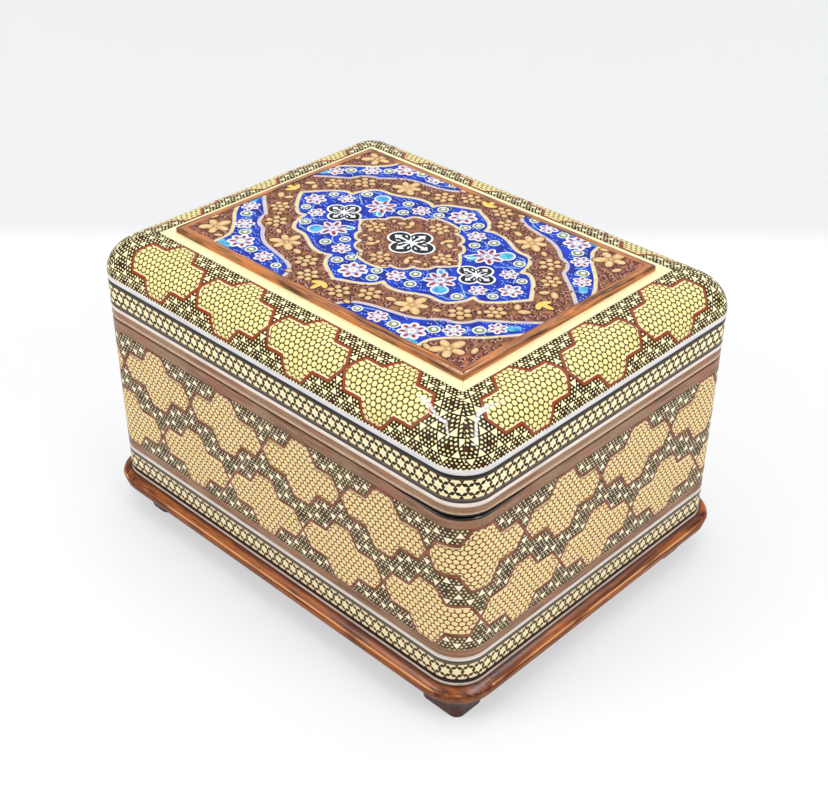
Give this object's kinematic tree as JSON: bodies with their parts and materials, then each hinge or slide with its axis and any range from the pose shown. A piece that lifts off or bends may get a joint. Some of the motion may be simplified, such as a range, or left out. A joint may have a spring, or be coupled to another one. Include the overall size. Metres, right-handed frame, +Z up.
{
  "type": "jewelry box",
  "caption": "Rounded wooden jewelry box dressed in khatam marquetry, with a hinged cushion-domed lid, painted top panel, moulded plinth and block feet.",
  "frame": {"origin": "centre of the bounding box at the floor the feet stand on", "axes": "+Z up out of the lid, +X along the long side to the right, -Y out of the front face, hinges at +Y"},
  "size_m": [0.208, 0.1632, 0.1304],
  "materials": {
    "walnut": "gloss lacquer",
    "carcass": "satin",
    "khatam": "gloss lacquer over inlay of wood, bone and brass rods",
    "brown_band": "gloss lacquer",
    "pale_string": "gloss",
    "dark_string": "gloss",
    "bone": "gloss",
    "painted_board": "painted and varnished",
    "brass": "polished, a little dulled",
    "velvet": "pile"
  },
  "bodies": {
    "case": {"foot_front_right": "walnut", "foot_front_left": "walnut", "foot_back_right": "walnut", "foot_back_left": "walnut", "plinth_rail_front": "walnut", "plinth_rail_right": "walnut", "plinth_rail_back": "walnut", "plinth_rail_left": "walnut", "case_wall_front": "carcass", "case_wall_right": "carcass", "case_wall_back": "carcass", "case_wall_left": "carcass", "case_floor": "carcass", "case_khatam_front": "khatam", "case_khatam_right": "khatam", "case_khatam_back": "khatam", "case_khatam_left": "khatam", "case_top_band": "brown_band", "case_lower_band": "brown_band", "case_pale_string_upper": "pale_string", "case_dark_string_upper": "dark_string", "case_star_strip": "khatam", "case_dark_string_lower": "dark_string", "case_pale_string_lower": "pale_string", "hinge_leaf_case_left": "brass", "hinge_leaf_case_right": "brass", "hinge_pin_left": "brass", "hinge_pin_right": "brass", "lining_wall_front": "velvet", "lining_wall_back": "velvet", "lining_wall_right": "velvet", "lining_wall_left": "velvet", "lining_floor_pad": "velvet"},
    "lid": {"lid_wall_front": "carcass", "lid_wall_right": "carcass", "lid_wall_back": "carcass", "lid_wall_left": "carcass", "lid_top_board": "carcass", "lid_rim_band": "brown_band", "lid_pale_string_lower": "pale_string", "lid_dark_string_lower": "dark_string", "lid_star_strip": "khatam", "lid_dark_string_upper": "dark_string", "lid_pale_string_upper": "pale_string", "dome_khatam_front": "khatam", "dome_khatam_right": "khatam", "dome_khatam_back": "khatam", "dome_khatam_left": "khatam", "bone_strip_front": "bone", "bone_strip_right": "bone", "bone_strip_back": "bone", "bone_strip_left": "bone", "panel_moulding_front": "walnut", "panel_moulding_right": "walnut", "panel_moulding_back": "walnut", "panel_moulding_left": "walnut", "painted_panel": "painted_board", "hinge_leaf_lid_left": "brass", "hinge_leaf_lid_right": "brass", "lining_lid_pad": "velvet"}
  },
  "joints": [
    {"name": "lid_hinge", "type": "hinge", "parent": "case", "child": "lid", "pos_m": [0, 0.0796, 0.09315], "axis": [-1, 0, 0], "range_deg": [0, 100]}
  ]
}
